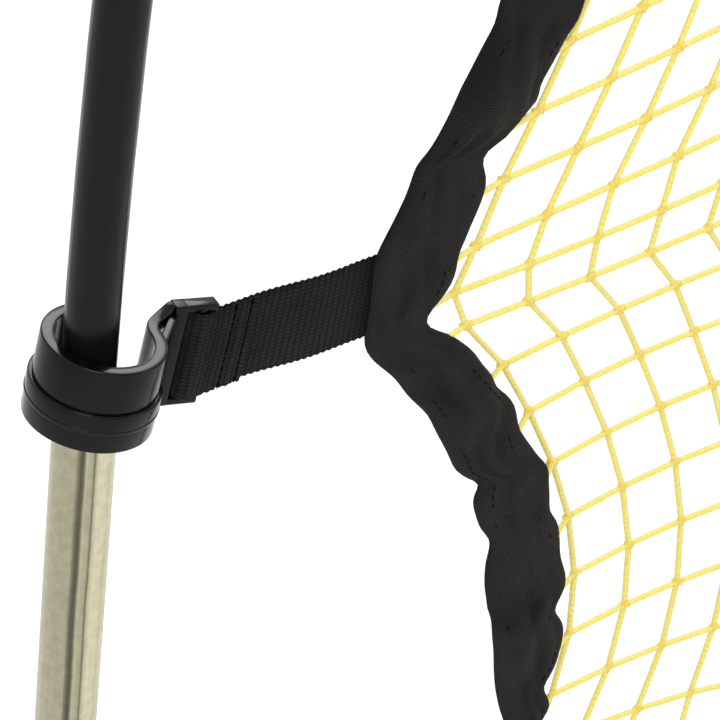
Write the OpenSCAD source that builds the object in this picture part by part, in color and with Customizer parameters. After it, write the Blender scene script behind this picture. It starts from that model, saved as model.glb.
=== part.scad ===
// Golf chipping net: a sagging square-mesh net in a fabric hem, held open between two bowed poles.
// Each pole is a black rod that plugs into a bare tube. The net hangs on webbing straps that end
// in moulded C-hook clips, and the poles stand in a base rail on two feet that swivel to pack flat.
// X runs across the net, the player stands on the -Y side, and Z = 0 is the ground.

/* [Base] */
// Distance between the centres of the two pole sockets
socket_span = 900; // [800:10:1100]
// Outer diameter of the rail, foot and lower pole tubes
tube_d = 19; // [18:0.5:20]
// Wall of those tubes
tube_wall = 1.2; // [1:0.1:1.4]
// Length of each foot tube
foot_len = 500; // [400:10:600]
// Height of the foot tube's axis above the ground
foot_axis_z = 16; // [15:0.5:20]
// Distance from a socket inwards to its foot's pivot bolt
pivot_inset = 50; // [45:1:80]
// Thickness of the spacer between foot and rail
spacer_t = 3; // [3:0.5:6]
// Outer diameter of the spacer
spacer_d = 22; // [18:1:26]
// Diameter of the pivot bolt's shank
bolt_d = 8; // [6:0.5:9]
// Diameter of the bolt's dome head
bolt_head_d = 17; // [15:0.5:18]
// Height of the bolt's dome head
bolt_head_h = 3; // [2.5:0.25:4]
// Distance across the flats of the nut
nut_flats = 13; // [12:0.5:15]
// Height of the lock nut
nut_h = 8; // [6:0.5:10]
// Outer diameter of the plain washer
washer_d = 16; // [15:0.5:20]
// Thickness of the plain washer
washer_t = 1.6; // [1:0.2:2.4]
// Wall of the rubber caps on the feet
cap_wall = 2; // [1.5:0.25:2.25]
// Length of the rubber caps on the feet
cap_len = 34; // [25:1:45]
// Width of the flat pad under a foot cap
pad_w = 20; // [14:1:22]
// Wall of the socket sleeves
socket_wall = 1.5; // [1.2:0.1:2]
// Height of a socket sleeve's mouth above the rail's axis
socket_up = 30; // [26:1:31]
// Depth of a socket's floor below the rail's axis
socket_down = 5; // [3:0.5:6]

/* [Poles] */
// Lean of the lower poles towards the net's middle, in degrees
pole_lean = 2.5; // [1:0.1:4]
// Height of the joint where the rod leaves the lower tube
joint_z = 400; // [360:5:440]
// Length of rod inside the lower tube
rod_plug = 70; // [40:1:120]
// Radius of the rod's bow
bow_r = 3000; // [2600:50:3400]
// Length of rod that shows, along its bow
rod_len = 600; // [560:5:660]
// Wall of the soft cap on the rod's tip
tip_wall = 1.4; // [1:0.1:2]
// Length of the soft cap on the rod's tip
tip_len = 22; // [15:1:30]
// Length of the net's corner pocket on the rod
pocket_len = 80; // [60:5:110]
// Wall of the corner pocket
pocket_wall = 1.3; // [1:0.1:1.8]

/* [Clips] */
// Outer diameter of the C-hook ring
ring_d = 37; // [36.5:0.5:42]
// Wall of the C-hook ring
ring_wall = 4; // [3.5:0.1:4.2]
// Height of the C-hook ring
ring_h = 27.5; // [25:0.5:30]
// How far the ring sits above the middle of the bracket
ring_up = 1.4; // [0:0.1:2]
// How far the raised band stands out of the ring
band_t = 0.9; // [0.5:0.1:1.4]
// Height of the raised band
band_h = 6; // [4:0.2:9]
// Angle at which the ring's free end stops, from the strap's direction
ring_end_a = 85; // [75:1:95]
// Thickness of the top and bottom arms
arm_t = 2.4; // [2:0.1:3]
// Width of the arms
arm_w = 4.8; // [4:0.2:6]
// How far the arms run on past the strap's bar
arm_over = 2.4; // [0.5:0.1:4]
// Distance from the ring's centre to the strap's bar
bar_x = 35.5; // [34.5:0.25:40]
// Diameter of the strap's bar
bar_d = 5; // [4:0.25:5.5]
// Offset of the strap's plane behind the ring's centre
strap_y = 10; // [9:0.25:11]

/* [Straps and hem] */
// Width of the webbing
strap_w = 30; // [25:0.5:32]
// Thickness of one layer of webbing
strap_t = 1.5; // [1.2:0.1:1.8]
// Length of the sewn-back double part, from the bar
strap_double = 17; // [12:1:24]
// Distance from a pole's axis to the hem's point at a strap
strap_reach = 96; // [90:1:120]
// How far the strap's end lies under the hem
strap_under = 14; // [10:1:16]
// How much higher a side strap's end at the hem is than its bar
strap_lift = 4; // [0:0.5:6]
// Width of the hem binding
hem_w = 30; // [28:1:34]
// Thickness of the flat hem
hem_t = 2.4; // [2:0.1:3]
// Depth of the hem's folds
fold_t = 1.3; // [0.5:0.1:1.8]
// Pitch of the hem's folds
fold_pitch = 95; // [80:5:140]
// Height of the bottom corners of the net
corner_z = 88; // [88:1:140]
// How far the side hems curve in above the side straps
side_dip_up = 66; // [30:1:70]
// How far the side hems curve in below the side straps
side_dip_low = 63; // [40:1:75]
// How far the top hem sags
top_dip = 60; // [30:1:90]
// How far the bottom hems curve up between their straps
bottom_dip = 45; // [20:1:60]

/* [Netting] */
// Cells across the net
cells_x = 16; // [12:4:16]
// Cells up the net
cells_z = 16; // [12:4:16]
// Width and thickness of a strand
strand_w = 1.6; // [1.2:0.1:2]
// Depth of the net's bag behind the hem
bag = 65; // [50:5:140]
// Width of netting under the hem
tuck = 8; // [5:1:10]

/* [Fits] */
// Gap between soft pieces that lie on each other
soft_gap = 0.3; // [0.2:0.05:0.4]
// Radial gap between a pole and its socket
pole_gap = 0.15; // [0.1:0.05:0.25]
// Radial gap between the rod and the lower tube
rod_gap = 0.3; // [0.1:0.05:0.5]
// Radial gap between the bolt and its holes
bolt_gap = 0.1; // [0.1:0.05:0.3]
// Gap between the bar and the strap's loop
loop_gap = 0.3; // [0.2:0.05:0.5]
// Slack of the side clips round the rod
side_slack = 2.6; // [2:0.1:2.8]
// Slack of the lower clips round the bare tubes
low_slack = 3.3; // [2.5:0.1:3.6]

/* [Hidden] */
$fn = 64;
half_span = socket_span / 2;
rail_z = foot_axis_z + tube_d + spacer_t;
pivot_x = half_span - pivot_inset;
sock_r = tube_d / 2 + pole_gap;
sock_or = sock_r + socket_wall;
sock_bottom = tube_d / 2 - 1;
bore_r = tube_d / 2 - tube_wall;
rod_r = bore_r - rod_gap;
ring_ir = ring_d / 2 - ring_wall;

// x of a lower pole's axis at height z, on the -X side
function low_x(z) = -half_span + (z - rail_z) * tan(pole_lean);
joint_x = low_x(joint_z);
plug_ease = 0.05;
bow_cx = joint_x + bow_r * cos(pole_lean);
bow_cz = joint_z - bow_r * sin(pole_lean);
bow_a = rod_len / bow_r * 180 / PI;
tip_a = pole_lean + bow_a;
function bow_x(a) = bow_cx - bow_r * cos(a);
function bow_z(a) = bow_cz + bow_r * sin(a);
tip_x = bow_x(tip_a);
tip_z = bow_z(tip_a);

// planes of the straps, hem and net, counted back from the poles
strap_front = strap_y - strap_t / 2;
hem_back = strap_front - soft_gap;

// corner pocket on the rod's tip
pocket_ir = rod_r + tip_wall + soft_gap;
pocket_r = pocket_ir + pocket_wall;
pocket_a = pocket_len / bow_r * 180 / PI;
top_x = tip_x + pocket_r + 2;
top_z = tip_z - 8;

// outline of the hem's outer edge: straight along each strap's end, and curved in between
function dip(s, n) = 1 - pow(abs(2 * s - 1), n);
function unit(s) = max(0, min(1, s));
half_strap = strap_w / 2;
side_x = joint_x + strap_reach;
cusp_z = joint_z + strap_lift;
corner_x = low_x(corner_z) + strap_reach;
mid_z = rail_z + strap_reach;
low_skew = 1.15;
function side_out(z) = z >= cusp_z
    ? let (s = unit((z - cusp_z - half_strap) / (top_z - cusp_z - half_strap)))
        side_x + (top_x - side_x) * s + side_dip_up * dip(s, 2)
    : let (s = unit((cusp_z - half_strap - z) / (cusp_z - corner_z - strap_w)))
        side_x + (corner_x - side_x) * s + side_dip_low * dip(pow(s, low_skew), 2);
function top_out(u) = top_z - top_dip * dip(u, 2);
flat_u = half_strap / (2 * abs(corner_x));

function bottom_out(u) = let (s = unit((u < 0.5 ? u : 1 - u) / (0.5 - flat_u)))
    corner_z - half_strap + (mid_z - corner_z + half_strap) * s + bottom_dip * dip(s, 3);

// bodies of the strap-and-clip pairs
clip_tilt = 11;
window_h = strap_w + 2 * soft_gap;
rise = bar_x * sin(clip_tilt);

// the hook's lip turns outwards from the ring and runs to the bracket's post
ring_mid = ring_d / 2 - ring_wall / 2;
lip_a = 8;
lip_r = 3;
lip_turn = 68;
lip_len = 8;
lip_wall = ring_wall - 0.4;
lip_c = (ring_mid + lip_r) * [cos(lip_a), sin(lip_a)];
post_w = 2.8;
window_slack = 2.7;
post_x = bar_x - bar_d / 2 - strap_t - window_slack - post_w;
strut_t = 2.6;
heel = ring_mid * [cos(-15), sin(-15)];
strut = [post_x + post_w / 2, strap_y] - heel;
band_z = ring_up - band_h / 2 - 0.6;

// one copy on the -X side, or its mirror image on the +X side
module side(right) {
    mirror([right ? 1 : 0, 0, 0]) children();
}

// a tube or rod bent to the rod's bow, from angle a0 to a1
module bow(r, a0, a1) {
    translate([bow_cx, 0, bow_cz])
        rotate([90, 0, 0])
            rotate([0, 0, 180 - a1])
                rotate_extrude(angle = a1 - a0, $fn = 96)
                    translate([bow_r, 0])
                        circle(r = r);
}

// places a child that is drawn along +Z on the lower pole's leaning axis, from the rail's axis
module on_pole() {
    translate([-half_span, 0, rail_z])
        rotate([0, pole_lean, 0])
            children();
}

module base_rail() {
    color("silver")
        difference() {
            translate([-half_span, 0, rail_z])
                rotate([0, 90, 0])
                    cylinder(d = tube_d, h = socket_span);
            translate([-half_span - 1, 0, rail_z])
                rotate([0, 90, 0])
                    cylinder(r = bore_r, h = socket_span + 2);
            for (right = [false, true])
                side(right) {
                    on_pole()
                        cylinder(r = sock_or, h = 4 * tube_d, center = true);
                    translate([-pivot_x, 0, rail_z - tube_d])
                        cylinder(r = bolt_d / 2 + bolt_gap, h = 2 * tube_d);
                }
        }
}

module pole_socket(right) {
    color("silver")
        side(right)
            on_pole()
                difference() {
                    translate([0, 0, -sock_bottom])
                        cylinder(r = sock_or, h = socket_up + sock_bottom);
                    translate([0, 0, -socket_down])
                        cylinder(r = sock_r, h = socket_up + socket_down + 1);
                }
}

module rail_spacers() {
    color("#202020")
        for (right = [false, true])
            side(right)
                translate([-pivot_x, 0, foot_axis_z + tube_d / 2])
                    difference() {
                        cylinder(d = spacer_d, h = spacer_t);
                        translate([0, 0, -1])
                            cylinder(r = bolt_d / 2 + bolt_gap, h = spacer_t + 2);
                    }
}

module pivot_bolts() {
    shank = 2 * tube_d + spacer_t + washer_t + nut_h + 2;
    head_r = (pow(bolt_head_d / 2, 2) + pow(bolt_head_h, 2)) / (2 * bolt_head_h);
    color("silver")
        for (right = [false, true])
            side(right)
                translate([-pivot_x, 0, foot_axis_z - tube_d / 2]) {
                    cylinder(d = bolt_d, h = shank);
                    intersection() {
                        translate([0, 0, head_r - bolt_head_h])
                            sphere(r = head_r);
                        translate([0, 0, -bolt_head_h])
                            cylinder(d = bolt_head_d, h = bolt_head_h);
                    }
                }
}

module pivot_washers() {
    color("silver")
        for (right = [false, true])
            side(right)
                translate([-pivot_x, 0, rail_z + tube_d / 2])
                    difference() {
                        cylinder(d = washer_d, h = washer_t);
                        translate([0, 0, -1])
                            cylinder(r = bolt_d / 2 + bolt_gap, h = washer_t + 2);
                    }
}

module pivot_nuts() {
    color("silver")
        for (right = [false, true])
            side(right)
                translate([-pivot_x, 0, rail_z + tube_d / 2 + washer_t])
                    difference() {
                        cylinder(d = nut_flats / cos(30), h = nut_h, $fn = 6);
                        translate([0, 0, -1])
                            cylinder(r = bolt_d / 2 + 0.02, h = nut_h + 2);
                    }
}

module foot(right) {
    color("silver")
        side(right)
            translate([-pivot_x, 0, foot_axis_z])
                difference() {
                    rotate([90, 0, 0])
                        cylinder(d = tube_d, h = foot_len, center = true);
                    rotate([90, 0, 0])
                        cylinder(d = tube_d - 2 * tube_wall, h = foot_len + 2, center = true);
                    translate([0, 0, -tube_d])
                        cylinder(r = bolt_d / 2 + bolt_gap, h = 2 * tube_d);
                }
}

module foot_caps(right) {
    color("#1c1c1c")
        side(right)
            for (end = [0, 1])
                mirror([0, end, 0])
                    translate([-pivot_x, -foot_len / 2 - cap_wall, 0])
                        difference() {
                            union() {
                                translate([0, 0, foot_axis_z])
                                    rotate([-90, 0, 0])
                                        cylinder(r = tube_d / 2 + cap_wall, h = cap_len);
                                translate([-pad_w / 2, 0, 0])
                                    cube([pad_w, cap_len, foot_axis_z]);
                            }
                            translate([0, cap_wall, foot_axis_z])
                                rotate([-90, 0, 0])
                                    cylinder(d = tube_d, h = cap_len);
                        }
}

module lower_pole(right) {
    len = (joint_z - rail_z) / cos(pole_lean);
    color("#b9b7ae")
        side(right)
            on_pole()
                translate([0, 0, -socket_down])
                    difference() {
                        cylinder(d = tube_d, h = len + socket_down);
                        translate([0, 0, -1])
                            cylinder(r = bore_r, h = len + socket_down + 2);
                    }
}

module upper_rod(right) {
    len = (joint_z - rail_z) / cos(pole_lean);
    color("#0d0d0e")
        side(right) {
            on_pole()
                translate([0, 0, len - rod_plug])
                    cylinder(r = rod_r - plug_ease, h = rod_plug);
            bow(rod_r, pole_lean, tip_a);
        }
}

module rod_tip_cap(right) {
    a0 = tip_a - tip_len / bow_r * 180 / PI;
    a1 = tip_a + tip_wall / bow_r * 180 / PI;
    color("#161616")
        side(right)
            difference() {
                bow(rod_r + tip_wall, a0, a1);
                bow(rod_r + plug_ease, a0 - 0.02, tip_a);
            }
}

module corner_pocket(right) {
    a0 = tip_a - pocket_a;
    a1 = tip_a + (tip_wall + soft_gap) / bow_r * 180 / PI;
    a2 = a1 + strap_t / bow_r * 180 / PI;
    flap_x0 = tip_x - 2;
    flap_x1 = top_x + hem_w - tuck - 4;
    flap_h = pocket_len - 12;
    color("#141414")
        side(right)
            difference() {
                union() {
                    bow(pocket_r, a0, a2);
                    translate([flap_x0, strap_front, top_z - flap_h])
                        cube([flap_x1 - flap_x0, strap_t, flap_h]);
                }
                bow(pocket_ir, a0 - 0.1, a1);
            }
}

// closed strip of cloth through rings of points [x, z], with folds on its front face;
// each ring runs from the outer edge to the inner edge
function fold(t, k, length) =
    fold_t * (0.5 + 0.5 * sin(360 * t * length / fold_pitch + 130 * k)) * min(1, 12 * t * (1 - t));
module cloth_strip(rings, length) {
    edge_inset = 0.4;
    n = len(rings) - 1;
    m = len(rings[0]);
    front = [for (i = [0:n], k = [0:m - 1]) let (p = rings[i][k])
        [p[0], hem_back - hem_t - (k == 0 || k == m - 1 ? -edge_inset : fold(i / n, k, length)), p[1]]];
    back = [for (i = [0:n], k = [0:m - 1]) let (p = rings[i][k]) [p[0], hem_back, p[1]]];
    b = (n + 1) * m;
    quads = concat(
        [for (i = [0:n - 1], k = [0:m - 2]) let (a = i * m + k) [a, a + m, a + m + 1, a + 1]],
        [for (i = [0:n - 1], k = [0:m - 2]) let (a = b + i * m + k) [a, a + 1, a + m + 1, a + m]],
        [for (i = [0:n - 1]) let (a = i * m) [a, a + b, a + b + m, a + m]],
        [for (i = [0:n - 1]) let (a = i * m + m - 1) [a, a + m, a + b + m, a + b]],
        [for (k = [0:m - 2]) [k, k + 1, k + 1 + b, k + b]],
        [for (k = [0:m - 2]) let (a = n * m + k) [a, a + b, a + b + 1, a + 1]]);
    polyhedron(points = concat(front, back),
        faces = [for (q = quads, h = [0, 1]) h == 0 ? [q[0], q[1], q[2]] : [q[0], q[2], q[3]]]);
}

widths = [0, 0.3, 0.7, 1];
low_steps = 12;
high_steps = 22;
edge_steps = 30;

module hem_side(right) {
    z0 = corner_z - half_strap;
    low0 = corner_z + half_strap;
    low1 = cusp_z - half_strap;
    high0 = cusp_z + half_strap;
    heights = concat([z0, low0],
        [for (i = [1:low_steps]) low0 + (low1 - low0) * i / low_steps],
        [high0],
        [for (i = [1:high_steps]) high0 + (top_z - high0) * i / high_steps]);
    rings = [for (z = heights) [for (w = widths) [side_out(z) + w * hem_w, z]]];
    color("#171717")
        side(right)
            cloth_strip(rings, top_z - z0);
}

// x of the net side of a side hem at height z
function side_in(z) = side_out(z) + hem_w + soft_gap;

module hem_top() {
    rings = [for (i = [0:edge_steps]) let (u = i / edge_steps)
        [for (w = widths) let (z = top_out(u) - w * hem_w) [side_in(z) * (1 - 2 * u), z]]];
    color("#171717")
        cloth_strip([for (i = [edge_steps:-1:0]) rings[i]], 2 * abs(top_x));
}

module hem_bottom() {
    rings = [for (i = [0:edge_steps]) let (u = i / edge_steps)
        [for (w = widths) let (z = bottom_out(u) + w * hem_w) [side_in(z) * (1 - 2 * u), z]]];
    color("#171717")
        cloth_strip(rings, 2 * abs(corner_x));
}

// the bag's surface, u across and v up, both from 0 to 1
function net_low(u) = bottom_out(u) + hem_w - tuck;
function net_high(u) = top_out(u) - hem_w + tuck;
function net_point(u, v, back) = let (
        zs = net_low(0) + (net_high(0) - net_low(0)) * v,
        x = (side_out(zs) + hem_w - tuck) * (1 - 2 * u),
        z = net_low(u) + (net_high(u) - net_low(u)) * v,
        y = strap_front + bag * 4 * u * (1 - u) * 4 * v * (1 - v))
    [x, y + back * strand_w, z];

// one closed panel of n by n square holes, from column i0 and row j0
module net_panel(i0, j0, n) {
    su = strand_w / 2 / (2 * abs(side_x));
    sv = strand_w / 2 / (top_z - corner_z);
    seam = 0.2;
    function pu(i) = (i0 + i) / cells_x + (i == 0 ? seam * su : i == n ? -seam * su : 0);
    function pv(j) = (j0 + j) / cells_z + (j == 0 ? seam * sv : j == n ? -seam * sv : 0);
    knots = [for (b = [0, 1], j = [0:n], i = [0:n]) net_point(pu(i), pv(j), b)];
    holes = [for (b = [0, 1], j = [0:n - 1], i = [0:n - 1], k = [0:3])
        net_point(pu(k == 1 || k == 2 ? i + 1 : i) + (k == 1 || k == 2 ? -su : su),
            pv(k > 1 ? j + 1 : j) + (k > 1 ? -sv : sv), b)];
    nk = (n + 1) * (n + 1);
    nh = 4 * n * n;
    function knot(i, j, k, b) = b * nk + (k > 1 ? j + 1 : j) * (n + 1) + (k == 1 || k == 2 ? i + 1 : i);
    function hole(i, j, k, b) = 2 * nk + b * nh + (j * n + i) * 4 + k;
    quads = concat(
        [for (j = [0:n - 1], i = [0:n - 1], k = [0:3]) let (l = (k + 1) % 4)
            [knot(i, j, k, 0), hole(i, j, k, 0), hole(i, j, l, 0), knot(i, j, l, 0)]],
        [for (j = [0:n - 1], i = [0:n - 1], k = [0:3]) let (l = (k + 1) % 4)
            [knot(i, j, k, 1), knot(i, j, l, 1), hole(i, j, l, 1), hole(i, j, k, 1)]],
        [for (j = [0:n - 1], i = [0:n - 1], k = [0:3]) let (l = (k + 1) % 4)
            [hole(i, j, k, 0), hole(i, j, k, 1), hole(i, j, l, 1), hole(i, j, l, 0)]],
        [for (t = [0:n - 1], k = [0:3]) let (
                l = (k + 1) % 4,
                i = k == 1 ? n - 1 : k == 3 ? 0 : t,
                j = k == 0 ? 0 : k == 2 ? n - 1 : t)
            [knot(i, j, k, 0), knot(i, j, l, 0), knot(i, j, l, 1), knot(i, j, k, 1)]]);
    polyhedron(points = concat(knots, holes),
        faces = [for (q = quads, h = [0, 1]) h == 0 ? [q[0], q[1], q[2]] : [q[0], q[2], q[3]]]);
}

module netting() {
    panel = 4;
    color("#f2c230")
        for (j = [0:panel:cells_z - 1], i = [0:panel:cells_x - 1])
            net_panel(i, j, panel);
}

// flat wedge of the plane between two directions
module sector(a0, a1, r) {
    polygon([[0, 0], r * [cos(a0), sin(a0)], r * [cos((a0 + a1) / 2), sin((a0 + a1) / 2)],
        r * [cos(a1), sin(a1)]]);
}

// wall of the hook seen along its ring: the ring, its flared lip, and the strut to the bracket
module hook_outline() {
    translate(lip_c) {
        intersection() {
            difference() {
                circle(r = lip_r + lip_wall / 2);
                circle(r = lip_r - lip_wall / 2);
            }
            sector(180 + lip_a - lip_turn, 184 + lip_a, 2 * ring_d);
        }
        rotate(90 + lip_a - lip_turn)
            translate([-0.2, lip_r - lip_wall / 2 + 0.1])
                square([lip_len + 0.2, lip_wall - 0.2]);
    }
    difference() {
        circle(d = ring_d);
        circle(r = ring_ir);
        sector(lip_a, ring_end_a, 2 * ring_d);
    }
    translate(heel)
        rotate(atan2(strut[1], strut[0]))
            translate([0, -strut_t / 2])
                square([norm(strut), strut_t]);
}

// moulded C-hook: an open ring with a flared lip, a strut and a bracket that holds the strap's bar
module clip() {
    color("#111112")
        union() {
            translate([0, 0, ring_up])
                linear_extrude(ring_h, center = true)
                    hook_outline();
            translate([0, 0, band_z])
                linear_extrude(band_h)
                    difference() {
                        circle(r = ring_d / 2 + band_t);
                        circle(r = ring_d / 2 - ring_wall / 3);
                        sector(-20, ring_end_a + 3, 2 * ring_d);
                    }
            translate([post_x, strap_y - arm_w / 2, -window_h / 2 - arm_t])
                cube([post_w, arm_w, window_h + 2 * arm_t]);
            for (top = [0, 1])
                mirror([0, 0, top])
                    translate([post_x, strap_y - arm_w / 2, window_h / 2])
                        cube([bar_x + bar_d / 2 + arm_over - post_x, arm_w, arm_t]);
            translate([bar_x, strap_y, -window_h / 2 - arm_t / 2])
                cylinder(d = bar_d, h = window_h + arm_t);
        }
}

// webbing from the bar to its end, drawn with the bar at the origin; the loop is square to the
// bar, which leans by tilt, and the far end lies higher by lift
module strap(reach, tilt, lift = 0) {
    loop_ir = bar_d / 2 + loop_gap;
    loop_or = loop_ir + strap_t;
    c = cos(tilt);
    s = sin(tilt);
    dx = strap_double;
    color("#1a1a1a")
        difference() {
            union() {
                rotate([0, tilt, 0]) {
                    cylinder(r = loop_or, h = strap_w, center = true);
                    translate([0, -1.5 * strap_t, -half_strap])
                        cube([dx, 2 * strap_t, strap_w]);
                }
                translate([0, strap_t / 2, 0])
                    rotate([90, 0, 0])
                        linear_extrude(strap_t)
                            polygon([
                                [dx * c + half_strap * s - 1, half_strap * c - dx * s],
                                [dx * c - half_strap * s - 1, -half_strap * c - dx * s],
                                [reach, lift - half_strap], [reach, lift + half_strap]]);
            }
            rotate([0, tilt, 0])
                cylinder(r = loop_ir, h = 2 * strap_w, center = true);
        }
}

module side_clip(right) {
    side(right)
        translate([joint_x + side_slack, 0, joint_z + rise])
            rotate([0, clip_tilt, 0])
                clip();
}

module side_strap(right) {
    bar = joint_x + side_slack + bar_x * cos(clip_tilt);
    side(right)
        translate([bar, strap_y, joint_z])
            strap(side_x + strap_under - bar, clip_tilt, strap_lift);
}

module low_clip(right) {
    side(right)
        translate([low_x(corner_z) + low_slack, 0, corner_z])
            clip();
}

module low_strap(right) {
    bar = low_x(corner_z) + low_slack + bar_x;
    side(right)
        translate([bar, strap_y, corner_z])
            strap(corner_x + strap_under - bar, 0);
}

module rail_clip() {
    translate([0, 0, rail_z + low_slack])
        rotate([0, -90, 0])
            clip();
}

module rail_strap() {
    bar = rail_z + low_slack + bar_x;
    translate([0, strap_y, bar])
        rotate([0, -90, 0])
            strap(mid_z + strap_under - bar, 0);
}

base_rail();
pole_socket(false);  // pole_socket_left
pole_socket(true);  // pole_socket_right
rail_spacers();
pivot_bolts();
pivot_washers();
pivot_nuts();
foot(false);  // foot_left
foot(true);  // foot_right
foot_caps(false);  // foot_caps_left
foot_caps(true);  // foot_caps_right
lower_pole(false);  // lower_pole_left
lower_pole(true);  // lower_pole_right
upper_rod(false);  // upper_rod_left
upper_rod(true);  // upper_rod_right
rod_tip_cap(false);  // rod_tip_cap_left
rod_tip_cap(true);  // rod_tip_cap_right
corner_pocket(false);  // corner_pocket_left
corner_pocket(true);  // corner_pocket_right
hem_side(false);  // hem_left
hem_side(true);  // hem_right
hem_top();
hem_bottom();
netting();
side_clip(false);  // side_clip_left
side_clip(true);  // side_clip_right
side_strap(false);  // side_strap_left
side_strap(true);  // side_strap_right
low_clip(false);  // low_clip_left
low_clip(true);  // low_clip_right
low_strap(false);  // low_strap_left
low_strap(true);  // low_strap_right
rail_clip();
rail_strap();
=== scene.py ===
import random
from math import atan2, cos, exp, pi, radians, sin, sqrt, tan, tanh
import bmesh
import bpy
from mathutils import Matrix, Vector


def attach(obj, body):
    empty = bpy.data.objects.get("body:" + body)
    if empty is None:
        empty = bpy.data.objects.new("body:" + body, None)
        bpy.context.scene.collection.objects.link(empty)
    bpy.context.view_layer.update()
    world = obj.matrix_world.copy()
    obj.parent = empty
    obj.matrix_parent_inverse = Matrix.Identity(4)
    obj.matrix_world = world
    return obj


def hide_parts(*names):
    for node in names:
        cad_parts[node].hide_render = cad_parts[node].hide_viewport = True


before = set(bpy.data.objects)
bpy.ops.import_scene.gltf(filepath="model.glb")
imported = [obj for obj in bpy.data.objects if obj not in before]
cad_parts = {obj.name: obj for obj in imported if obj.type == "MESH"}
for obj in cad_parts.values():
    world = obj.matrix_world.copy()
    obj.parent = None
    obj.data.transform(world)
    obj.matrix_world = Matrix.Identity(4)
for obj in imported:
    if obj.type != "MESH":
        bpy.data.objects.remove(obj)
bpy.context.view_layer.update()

scene = bpy.context.scene

# The view: a long lens from in front and above, on the left clip and the net beside it.
# Places are in metres; the lens is in millimetres, from its length in pixels of the picture.
view_target, view_distance = Vector((-0.33916, 0.010, 0.3795)), 1.001
view_turn, view_height, view_roll = radians(-29.925), radians(37.63), radians(-4.5)
film_width, picture_width, lens_pixels = 36, 720, 3291
lens = bpy.data.cameras.new("camera")
lens.sensor_width = film_width
lens.lens = lens_pixels / picture_width * film_width
lens.clip_start = 0.02
camera = bpy.data.objects.new("camera", lens)
scene.collection.objects.link(camera)
back = Vector((sin(view_turn) * cos(view_height), -cos(view_turn) * cos(view_height),
    sin(view_height)))
level = Vector((cos(view_turn), sin(view_turn), 0))
upward = back.cross(level)
across = cos(view_roll) * level - sin(view_roll) * upward
upward = sin(view_roll) * level + cos(view_roll) * upward
camera.matrix_world = Matrix.Translation(view_target + view_distance * back) @ Matrix(
    (across, upward, back)).transposed().to_4x4()
scene.camera = camera
scene.view_settings.view_transform = "Standard"


# The studio: a pale floor, white surroundings and three soft lamps at a plain level.
def wire(tree, node, *first, **values):
    """Sets up a node. Names in small letters are settings of the node; the rest go to its inputs, in
    their order or by name, as plain values or as outputs to link to."""
    for key, value in values.items():
        if key[0].islower():
            setattr(node, key, value)
    inputs = [socket for socket in node.inputs if socket.enabled]
    named = [(next(socket for socket in inputs if socket.name == key.replace("_", " ")), value)
        for key, value in values.items() if key[0].isupper()]
    for socket, value in [*zip(inputs, first), *named]:
        if isinstance(value, bpy.types.NodeSocket):
            tree.links.new(value, socket)
        else:
            socket.default_value = value
    return node


def outputs(tree, kind, *first, **values):
    """Adds a node, set up as above, and gives its outputs."""
    return wire(tree, tree.nodes.new(kind), *first, **values).outputs


def add(tree, kind, *first, **values):
    """Adds a node, set up as above, and gives its first output in use."""
    return next(socket for socket in outputs(tree, kind, *first, **values) if socket.enabled)


def calc(tree, operation, *terms):
    """The result of a sum on one to three terms."""
    return add(tree, "ShaderNodeMath", *terms, operation=operation)


def scaled(tree, value, low, high, start=0.0, end=1.0):
    """A value that runs from start to end, brought to run from low to high."""
    return add(tree, "ShaderNodeMapRange", value, start, end, low, high)


def node_material(name, base, roughness, **values):
    """A new material with its Principled shader set up, ready for more nodes."""
    material = bpy.data.materials.new(name)
    material.use_nodes = True
    tree = material.node_tree
    shader = wire(tree, tree.nodes["Principled BSDF"], Base_Color=(*base, 1), Roughness=roughness, **values)
    return material, tree, shader


def seen_ray(tree):
    """1 where a ray comes straight from the lens or off a glossy or clear surface."""
    path = outputs(tree, "ShaderNodeLightPath")
    sharp = calc(tree, "MAXIMUM", path["Is Camera Ray"], path["Is Glossy Ray"])
    return calc(tree, "MAXIMUM", sharp, path["Is Transmission Ray"])


world = bpy.data.worlds.new("studio")
world.use_nodes = True
scene.world = world
sky = world.node_tree
wire(sky, sky.nodes["Background"], Color=(1, 1, 1, 1), Strength=scaled(sky, seen_ray(sky), 0.5, 1.0))

floor_reach, floor_glow = 30, 0.34
floor_mesh = bpy.data.meshes.new("floor")
corners = [(x * floor_reach, y * floor_reach, 0) for x, y in ((-1, -1), (1, -1), (1, 1), (-1, 1))]
floor_mesh.from_pydata(corners, [], [(0, 1, 2, 3)])
floor = bpy.data.objects.new("floor", floor_mesh)
scene.collection.objects.link(floor)
floor_paint, tree, shader = node_material("pale_floor", (0.86, 0.86, 0.86), 0.9, Specular_IOR_Level=0.0,
    Emission_Color=(1, 1, 1, 1))
wire(tree, shader, Emission_Strength=calc(tree, "MULTIPLY", seen_ray(tree), floor_glow))
floor_mesh.materials.append(floor_paint)

# each lamp's name, place, width in metres and power in watts
lamp_target = Vector((0, 0, 0.45))
for name, place, width, power in (("key", (-1.5, -1.9, 2.1), 1.3, 38), ("fill", (1.9, -1.2, 1.3), 1.2, 12),
        ("rim", (0.55, 1.55, 1.72), 1.0, 20)):
    lamp = bpy.data.lights.new(name, "AREA")
    lamp.size = width
    lamp.energy = power
    lamp_object = bpy.data.objects.new(name, lamp)
    lamp_object.location = place
    lamp_object.rotation_euler = (lamp_target - Vector(place)).to_track_quat("-Z", "Y").to_euler()
    scene.collection.objects.link(lamp_object)


# Bare tubes: the base rail, its sockets, the feet and the lower poles are drawn steel tube, cut to
# length and left bare, with fine lines along the draw and a dull, slightly cloudy surface; long streaks of
# painted reflection run along them too.
def own_place(tree):
    """A place in the piece's own axes."""
    return outputs(tree, "ShaderNodeTexCoord")["Object"]


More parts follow.
